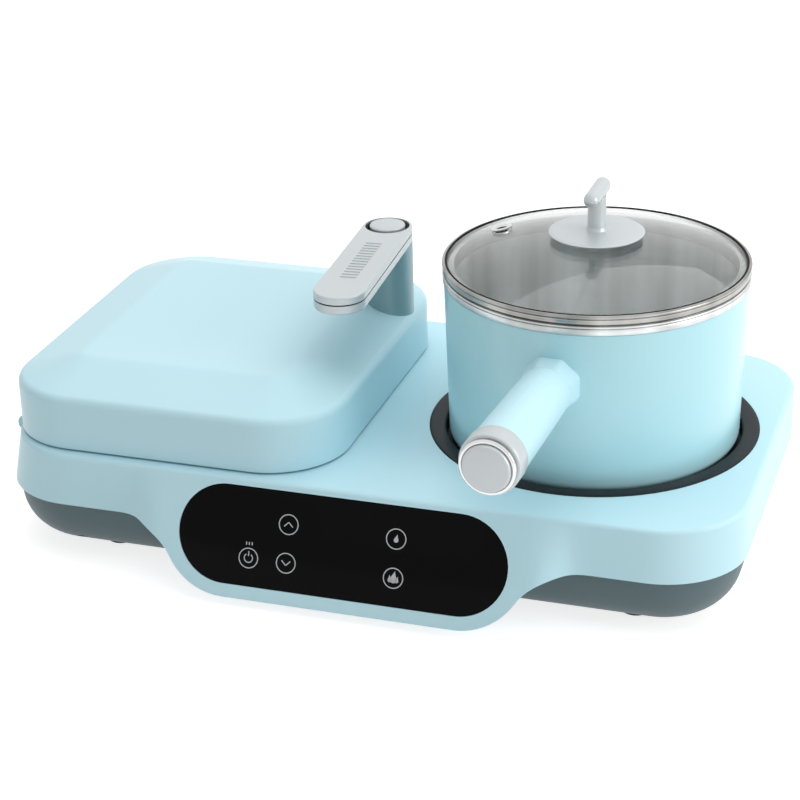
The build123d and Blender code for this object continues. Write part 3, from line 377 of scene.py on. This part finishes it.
window_half = 0.0902
window_radius = 0.0265
window_middle = 0.0302
window_thickness = 0.002
window_bevel = 0.0006
bpy.ops.mesh.primitive_circle_add(vertices=96, radius=window_radius, fill_type="NGON")
window = bpy.context.object
window.name = "window_glass"
for vertex in window.data.vertices:
    if abs(vertex.co.x) > window_bevel:
        vertex.co.x += copysign(window_half - window_radius, vertex.co.x)
edit(lambda: (bpy.ops.mesh.extrude_region_move(
    TRANSFORM_OT_translate={"value": (0, 0, -window_thickness)}),
    bpy.ops.mesh.select_all(action="SELECT"),
    bpy.ops.mesh.normals_make_consistent(inside=False)))
rounding = window.modifiers.new("ground_edge", "BEVEL")
rounding.width = window_bevel
rounding.segments = 2
bpy.ops.object.modifier_apply(modifier="ground_edge")
bpy.ops.object.shade_smooth_by_angle(angle=radians(25))
window.data.transform(laid_on_window(0, window_middle))
window.data.materials.append(gloss_black)
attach(window, "base")
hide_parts("control_window")
bpy.ops.object.select_all(action="DESELECT")

arrow = 0.0034
arrow_spread = 0.36
power_radius = 0.0026
power_gap = radians(32)
power_rise = 0.0024
small_flame = 0.0038
large_flame = 0.0056
tick_gap = 0.0016
tick_row = 0.0337
upper_row = 0.021
lower_row = 0.0415
left_column = -0.050
arrow_column = -0.029
flame_column = 0.030
for name, slope, way in (("mark_arrow_up", upper_row, 1), ("mark_arrow_down", lower_row, -1)):
    printed(name, [flat_ring(mark_radius, mark_line)] + [
        flat_bar(side * arrow * arrow_spread, 0, arrow, mark_line, side * way * radians(-45))
        for side in (-1, 1)], arrow_column, slope)
printed("mark_power", [flat_ring(mark_radius, mark_line),
                       flat_arc(power_radius, mark_line, power_gap),
                       flat_bar(0, power_rise, power_radius, mark_line, radians(90))],
        left_column, lower_row)
printed("mark_small_flame", [flat_ring(mark_radius, mark_line),
                             flat_flame(0, 0, small_flame, 0.16)], flame_column, upper_row)
printed("mark_large_flame", [flat_ring(mark_radius, mark_line),
                             flat_flame(-0.0017, -0.0006, 0.0034, -0.1),
                             flat_flame(0.0001, 0.0002, large_flame, 0.14),
                             flat_flame(0.0020, -0.0008, 0.0030, 0.2)],
        flame_column, lower_row)
printed("mark_timer_ticks", [flat_bar(side * tick_gap, 0, tick_gap, mark_line, radians(90))
                             for side in (-1, 0, 1)], left_column, tick_row)

# Hotplate ring: black heat-resistant moulding, a flat band level with the deck round the pot.
# Its throat goes down to a drip tray, and it drops into the deck's hole from above.
ring_black = dressed("ring_plastic", moulded, (0.014, 0.018, 0.021), 0.42, Grain=1300.0,
                     Depth=0.12, Mottle=0.05, settings={"Specular IOR Level": 0.18})
mm = 0.001
pot_axis = Matrix.Translation((hob.x, hob.y, 0))


def bend(reach, level, radius, first, last, steps=8):
    """Profile points round a corner's centre, from one angle to another in degrees."""
    angles = [radians(first + (last - first) * step / steps) for step in range(steps + 1)]
    return [(reach + radius * cos(angle), level + radius * sin(angle)) for angle in angles]


def turned(name, profile, axis, material, rounding=0.25, steps=144):
    """A round piece spun from its half section of (reach, level) points in millimetres."""
    bpy.ops.object.select_all(action="DESELECT")
    bpy.ops.mesh.primitive_circle_add(vertices=len(profile), radius=mm)
    piece = bpy.context.object
    piece.name = name
    for vertex, (reach, level) in zip(piece.data.vertices, profile):
        vertex.co = (reach * mm, 0, level * mm)
    bpy.ops.object.mode_set(mode="EDIT")
    bpy.ops.mesh.select_all(action="SELECT")
    bpy.ops.mesh.spin(steps=steps, angle=2 * pi, center=(0, 0, 0), axis=(0, 0, 1))
    bpy.ops.mesh.select_all(action="SELECT")
    bpy.ops.mesh.remove_doubles(threshold=mm / 100)
    bpy.ops.mesh.dissolve_degenerate(threshold=mm / 100)
    bpy.ops.mesh.select_all(action="SELECT")
    bpy.ops.mesh.normals_make_consistent(inside=False)
    bpy.ops.object.mode_set(mode="OBJECT")
    if rounding:
        soft = piece.modifiers.new("soft_edges", "BEVEL")
        soft.width = rounding * mm
        soft.segments = 2
        soft.limit_method = "ANGLE"
        soft.angle_limit = radians(30)
        bpy.ops.object.modifier_apply(modifier="soft_edges")
    bpy.ops.object.shade_smooth_by_angle(angle=radians(40))
    piece.data.transform(axis)
    piece.data.materials.append(material)
    bpy.ops.object.select_all(action="DESELECT")
    return piece


def fitted(piece, body, node):
    """Puts a piece in the place of a CAD node."""
    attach(piece, body)
    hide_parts(node)


ring_section = [(90.0, 64.5), (86.0, 64.5), (86.0, 61.5), (82.8, 61.5), (82.8, 56.0),
                (75.6, 56.0), (75.6, 57.5), (80.6, 57.5), (80.6, 65.2), (81.2, 66.0),
                (82.2, 66.4), (87.6, 66.6), (89.3, 66.6), (90.0, 66.1)]
ring = turned("hotplate_ring_moulding", ring_section, pot_axis, ring_black)
fitted(ring, "base", "hotplate_ring")

# The brushed finish: rings of fine scratches about an upright axis through Centre.
# The fan bands are painted reflection: slow light and dark bands round the axis, put into the
# colour where spun metal would show highlights.
scratch_stretch = 0.0008
scratch_height = 0.0002
cloud_scale = 22.0
cloud_gloss = 0.08
painted_reflection_scale = 2.6
brushed, start, end = group("brushed_finish_with_painted_reflection", finish_sockets + [
    ("Centre", VECTOR, (0, 0, 0)), ("Fans", NUMBER, 0.0)], finish_results)
place = brushed.nodes.new("ShaderNodeTexCoord").outputs["Object"]
shift = brushed.nodes.new("ShaderNodeVectorMath")
shift.operation = "SUBTRACT"
brushed.links.new(place, shift.inputs[0])
brushed.links.new(start.outputs["Centre"], shift.inputs[1])
split = brushed.nodes.new("ShaderNodeSeparateXYZ")
brushed.links.new(shift.outputs[0], split.inputs[0])
reach = math_node(brushed, "SQRT", math_node(
    brushed, "ADD", math_node(brushed, "MULTIPLY", split.outputs["X"], split.outputs["X"]),
    math_node(brushed, "MULTIPLY", split.outputs["Y"], split.outputs["Y"])), 0.0)
bearing = math_node(brushed, "ARCTAN2", split.outputs["Y"], split.outputs["X"])
polar = brushed.nodes.new("ShaderNodeCombineXYZ")
brushed.links.new(reach, polar.inputs["X"])
brushed.links.new(math_node(brushed, "MULTIPLY", bearing, scratch_stretch), polar.inputs["Y"])
brushed.links.new(split.outputs["Z"], polar.inputs["Z"])
scratch = noise(brushed, polar.outputs[0], start.outputs["Grain"], 4.0)
slow = noise(brushed, place, cloud_scale)
swing = centred(brushed, scratch, start.outputs["Mottle"])
# Painted reflection: slow light and dark bands by bearing round the axis, put into the colour's
# tone.
flat = brushed.nodes.new("ShaderNodeVectorMath")
flat.operation = "MULTIPLY"
flat.inputs[1].default_value = (1, 1, 0)
brushed.links.new(shift.outputs[0], flat.inputs[0])
around = brushed.nodes.new("ShaderNodeVectorMath")
around.operation = "NORMALIZE"
brushed.links.new(flat.outputs[0], around.inputs[0])
band = noise(brushed, around.outputs[0], painted_reflection_scale, 3.0)
painted_reflection_fans = centred(brushed, band, start.outputs["Fans"])
# The tone holds the scratches' grain and the painted reflection bands.
tone = math_node(brushed, "ADD", math_node(brushed, "ADD", swing, painted_reflection_fans), 1.0)
rough = math_node(brushed, "ADD", swing, centred(brushed, slow, cloud_gloss))
finish_outputs(brushed, start, end, tone, rough, scratch, scratch_height)

cast_alloy = dressed("cast_alloy", brushed, (0.16, 0.165, 0.17), 0.45, metallic=0.8,
                     Grain=900.0, Depth=0.4, Mottle=0.25, Centre=hob)
wear(cast_alloy, "hotplate", "pot_base_disc")
# Its fan bands are painted reflection: light and dark bands put into the steel's colour.
steel = dressed("brushed_steel", brushed, (0.39, 0.385, 0.37), 0.20, metallic=1.0,
                Grain=1700.0, Depth=0.25, Mottle=0.5, Centre=hob, Fans=2.4)
wear(steel, "hotplate_sensor", "housing_screws", "lid_screws",
     "column_screws", "hinge_pins", "push_rod", "button_spring", "latch_slider",
     "latch_bracket", "pot_handle_rod", "knob_screw", "grill_thermostat", "touch_sensor_pads")
bright = dressed("bright_steel", moulded, (0.72, 0.72, 0.72), 0.12, metallic=1.0, Grain=500.0,
                 Depth=0.02, Mottle=0.04)

# Grill: two cast plates with a black non-stick coating, each with a tube heater and a pan.
# The lower set hangs in the deck, and the upper one in the lid behind a black frame.
nonstick = dressed("nonstick_coating", moulded, (0.018, 0.018, 0.020), 0.5, Grain=2600.0,
                   Depth=0.5, Mottle=0.15)
wear(nonstick, "lower_grill_plate", "upper_grill_plate")
sheath = dressed("element_sheath", moulded, (0.16, 0.14, 0.12), 0.45, metallic=0.9,
                 Grain=700.0, Depth=0.1, Mottle=0.3)
wear(sheath, "lower_grill_element", "upper_grill_element", "hotplate_element")
pan_alloy = dressed("pan_sheet", moulded, (0.55, 0.55, 0.55), 0.35, metallic=1.0, Grain=800.0,
                    Depth=0.1, Mottle=0.08)
wear(pan_alloy, "lower_grill_pan", "upper_grill_pan", "hotplate_dish")
dark_trim = dressed("dark_trim", moulded, (0.006, 0.006, 0.007), 0.5, Grain=1500.0, Depth=0.15,
                    Mottle=0.05, settings={"Specular IOR Level": 0.1})
wear(dark_trim, "lid_inner_frame", "handle_seam_strip", "cord_gland")

# Grill lid: a pale blue moulding with four slopes up to a flat top.
# It swings on a barrel along its left edge; the black frame closes it underneath.
wear(pale_plastic, "lid_cover")

# Lid handle: a satin column with a flat arm across it, in silver-painted plastic.
# A dark seam parts the arm's cover from its shell. A round button releases the latch; the dark
# ring about it is painted shade, a black ring set in the gap round the button.
silver = dressed("silver_satin", moulded, (0.59, 0.63, 0.645), 0.34, metallic=0.35,
                 Grain=3800.0, Depth=0.12, Mottle=0.05)
wear(silver, "handle_arm_cover", "handle_arm_lower")
# The column is the arm's silver paint; its darker blue-grey colour is painted reflection of the
# blue lid and painted shade.
column_silver_painted_reflection = dressed("column_plastic", moulded, (0.30, 0.43, 0.46), 0.38, metallic=0.3,
                      Grain=2600.0, Depth=0.1, Mottle=0.05)
wear(column_silver_painted_reflection, "handle_column")
button_low, button_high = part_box("release_button")
button_axis = Matrix.Translation(((button_low.x + button_high.x) / 2,
                                  (button_low.y + button_high.y) / 2, button_high.z))
button_section = [(0, -3.4), (10.0, -3.4), (10.2, -3.1), (10.2, 0.2), (9.8, 0.8), (9.0, 1.1),
                  (4.0, 1.2), (0, 1.2)]
button = turned("release_button_cap", button_section, button_axis, silver, rounding=0.15)
fitted(button, "button", "release_button")
# Painted shade: a black ring set down in the gap round the button, where the gap is in shadow.
moat_shade_ring_section = [(11.0, -3.0), (12.6, -3.0), (12.6, -0.9), (12.3, -0.7), (11.3, -0.7), (11.0, -1.0)]
moat_painted_shade_ring = turned("button_moat_painted_shade_ring", moat_shade_ring_section, button_axis, dark_trim, rounding=0, steps=96)
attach(moat_painted_shade_ring, "grill_lid")

# Pot: a steel vessel in a pale blue enamelled jacket, with a rolled steel collar.
# The hollow handle is held to it by a rod from its end cap.
enamel = dressed("pale_blue_enamel", moulded, (0.475, 0.80, 0.87), 0.30, Grain=500.0, Depth=0.04,
                 Mottle=0.02, settings={"Coat Weight": 0.35, "Coat Roughness": 0.12})
jacket_section = [(70.3, 60.4)] + bend(72.0, 67.4, 7.0, -80, 0) + [
    (81.0, 151.3), (80.8, 151.5), (79.4, 151.5), (77.4, 67.4)] + bend(
    72.0, 67.4, 5.4, 0, -80) + [(70.3, 62.0)]
jacket = turned("pot_jacket_enamelled", jacket_section, pot_axis, enamel, rounding=0)
fitted(jacket, "pot", "pot_jacket")
# Its fan bands are painted reflection: light and dark bands put into the pot steel's colour.
inner_steel = dressed("pot_steel", brushed, (0.66, 0.675, 0.67), 0.36, metallic=0.8,
                      Grain=1100.0, Depth=0.06, Mottle=0.16, Centre=hob, Fans=2.2)
vessel_section = [(0, 62.0)] + bend(70.3, 69.0, 7.0, -90, 0) + [
    (77.3, 151.6), (81.2, 151.6), (81.6, 152.1), (81.6, 154.7), (81.4, 155.0), (80.6, 155.0),
    (80.6, 155.4)] + bend(81.2, 156.0, 0.65, -110, 90) + [
    (79.6, 156.6), (77.6, 156.1), (76.5, 154.6), (76.3, 152.0)] + bend(
    69.3, 70.0, 7.0, 0, -90) + [(0, 63.0)]
vessel = turned("pot_vessel_spun", vessel_section, pot_axis, inner_steel, rounding=0)
fitted(vessel, "pot", "pot_vessel")
wear(pale_plastic, "pot_handle_grip")

# Pot handle ends: a faceted socket at the pot, and a silver sleeve, ring and cap at the tip.
# They sit on the handle's own axis and are pulled together by the rod inside.
handle_level = 0.123
handle_bearing = radians(-93)
handle_way = Vector((cos(handle_bearing), sin(handle_bearing), 0))
handle_side = Vector((0, 0, 1)).cross(handle_way)
handle_axes = Matrix((Vector((0, 0, 1)), -handle_side, handle_way)).transposed().to_4x4()
handle_axis = Matrix.Translation((hob.x, hob.y, handle_level)) @ handle_axes
socket_start = 76.5
socket_end = 91.0
socket_root = 16.8
socket_tip = 13.9
socket_rounding = 1.8
flat_up = radians(22.5)
bpy.ops.mesh.primitive_cone_add(vertices=8, radius1=socket_root * mm, radius2=socket_tip * mm,
                                depth=(socket_end - socket_start) * mm,
                                location=(0, 0, (socket_start + socket_end) / 2 * mm),
                                rotation=(0, 0, flat_up))
socket = bpy.context.object
socket.name = "pot_handle_socket_faceted"
bpy.ops.object.transform_apply()
soft = socket.modifiers.new("soft_edges", "BEVEL")
soft.width = socket_rounding * mm
soft.segments = 4
bpy.ops.object.modifier_apply(modifier="soft_edges")
bpy.ops.object.shade_smooth_by_angle(angle=radians(60))
socket.data.transform(handle_axis)
socket.data.materials.append(pale_plastic)
fitted(socket, "pot", "pot_handle_socket")

sleeve_section = [(3.1, 165.0), (15.4, 165.0), (15.7, 165.3), (15.7, 175.2), (15.3, 176.1),
                  (14.5, 176.5), (13.4, 176.5), (13.2, 176.0), (3.1, 176.0)]
sleeve = turned("pot_handle_sleeve_satin", sleeve_section, handle_axis, silver, rounding=0.15)
fitted(sleeve, "pot", "pot_handle_sleeve")
end_section = [(3.1, 176.5), (12.7, 176.5), (12.7, 177.7), (13.9, 177.9), (14.4, 178.6),
               (14.2, 179.5), (13.5, 180.0), (12.8, 180.0), (12.5, 179.5), (3.1, 179.5)]
end_ring = turned("pot_handle_ring_bright", end_section, handle_axis, bright, rounding=0.12)
fitted(end_ring, "pot", "pot_handle_ring")
cap_section = [(0, 179.6), (12.0, 179.6), (12.2, 180.2), (12.1, 181.2), (11.6, 181.8),
               (11.0, 182.0), (0, 182.0)]
cap = turned("pot_handle_cap_satin", cap_section, handle_axis, silver, rounding=0)
fitted(cap, "pot", "pot_handle_cap")

# Glass lid: tempered glass dome in a pressed steel rim with a thin black seal, and a lined
# vent eyelet. The knob is a disc, a stem and a cross bar, screwed through the glass.
glass = bpy.data.materials.new("clear_glass")
glass.use_nodes = True
clear = glass.node_tree.nodes["Principled BSDF"]
clear.inputs["Base Color"].default_value = (0.93, 0.97, 0.965, 1)
clear.inputs["Transmission Weight"].default_value = 1
clear.inputs["Roughness"].default_value = 0.0
clear.inputs["IOR"].default_value = 1.46
wear(glass, "glass_pane")
rim_section = [(80.0, 156.8), (80.1, 157.5), (81.3, 157.6), (81.6, 157.9), (81.6, 160.1),
               (81.2, 160.4)] + bend(81.1, 161.3, 0.85, -70, 90) + [
               (80.4, 162.3), (79.8, 161.9), (79.75, 161.2), (79.75, 157.7), (74.6, 157.7),
               (74.6, 150.7), (75.6, 150.7), (75.6, 156.8)]
rim = turned("glass_lid_rim_pressed", rim_section, pot_axis, steel, rounding=0)
fitted(rim, "glass_lid", "glass_lid_rim")
seal_section = [(79.1, 162.1), (79.8, 161.95), (80.3, 162.2), (80.1, 162.45), (79.4, 162.5)]
seal = turned("glass_edge_seal", seal_section, pot_axis, dark_trim, rounding=0)
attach(seal, "glass_lid")

dome_radius = 240.0
dome_centre = -64.5
vent_left = 55.4
vent_back = 13.0
vent_rise = sqrt(dome_radius ** 2 - vent_left ** 2 - vent_back ** 2)
vent_way = Vector((-vent_left, vent_back, vent_rise)) * mm
vent_place = Vector((hob.x, hob.y, dome_centre * mm)) + vent_way
vent_axis = Matrix.Translation(vent_place) @ vent_way.to_track_quat("Z", "Y").to_matrix().to_4x4()
eyelet_section = [(3.0, -5.0), (4.2, -5.0), (4.2, 0.1), (5.0, 0.0), (5.7, 0.4), (5.8, 0.9),
                  (5.4, 1.4), (4.6, 1.5), (3.7, 1.2), (3.0, 0.5)]
eyelet = turned("vent_eyelet_rolled", eyelet_section, vent_axis, bright, rounding=0, steps=64)
fitted(eyelet, "glass_lid", "vent_eyelet")
liner_section = [(1.8, -4.8), (2.95, -4.8), (2.95, 0.4), (2.5, 0.6), (1.8, 0.2)]
liner = turned("vent_eyelet_liner", liner_section, vent_axis, dark_trim, rounding=0, steps=64)
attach(liner, "glass_lid")

disc_section = [(2.1, 176.7), (24.6, 176.7), (25.3, 176.9), (25.4, 177.3), (24.8, 177.7),
                (22.0, 178.0), (12.0, 178.3), (6.0, 178.4), (2.1, 178.4)]
disc = turned("knob_disc_dished", disc_section, pot_axis, silver, rounding=0)
fitted(disc, "glass_lid", "knob_disc")
stem_section = [(2.1, 178.4), (5.7, 178.4), (5.5, 178.9), (5.0, 179.6), (4.9, 180.6),
                (4.9, 197.0), (2.1, 197.0)]
stem = turned("knob_stem_turned", stem_section, pot_axis, silver, rounding=0, steps=64)
fitted(stem, "glass_lid", "knob_stem")
wear(silver, "knob_bar")
silicone = dressed("gasket_silicone", moulded, (0.55, 0.58, 0.58), 0.5, Grain=1200.0, Depth=0.1,
                   Mottle=0.05)
wear(silicone, "knob_gasket", "knob_washer")

# Electrics: green boards, black components and a nylon terminal block inside the tub.
# None of it shows from outside.
board_green = dressed("board_green", moulded, (0.01, 0.09, 0.03), 0.35, Grain=600.0, Depth=0.1,
                      Mottle=0.3)
wear(board_green, "touch_board", "power_board")
component_black = dressed("component_black", moulded, (0.02, 0.02, 0.022), 0.5, Grain=900.0,
                          Depth=0.2, Mottle=0.2)
wear(component_black, "board_components")
nylon = dressed("terminal_nylon", moulded, (0.62, 0.60, 0.54), 0.5, Grain=900.0, Depth=0.1,
                Mottle=0.1)
wear(nylon, "terminal_block")
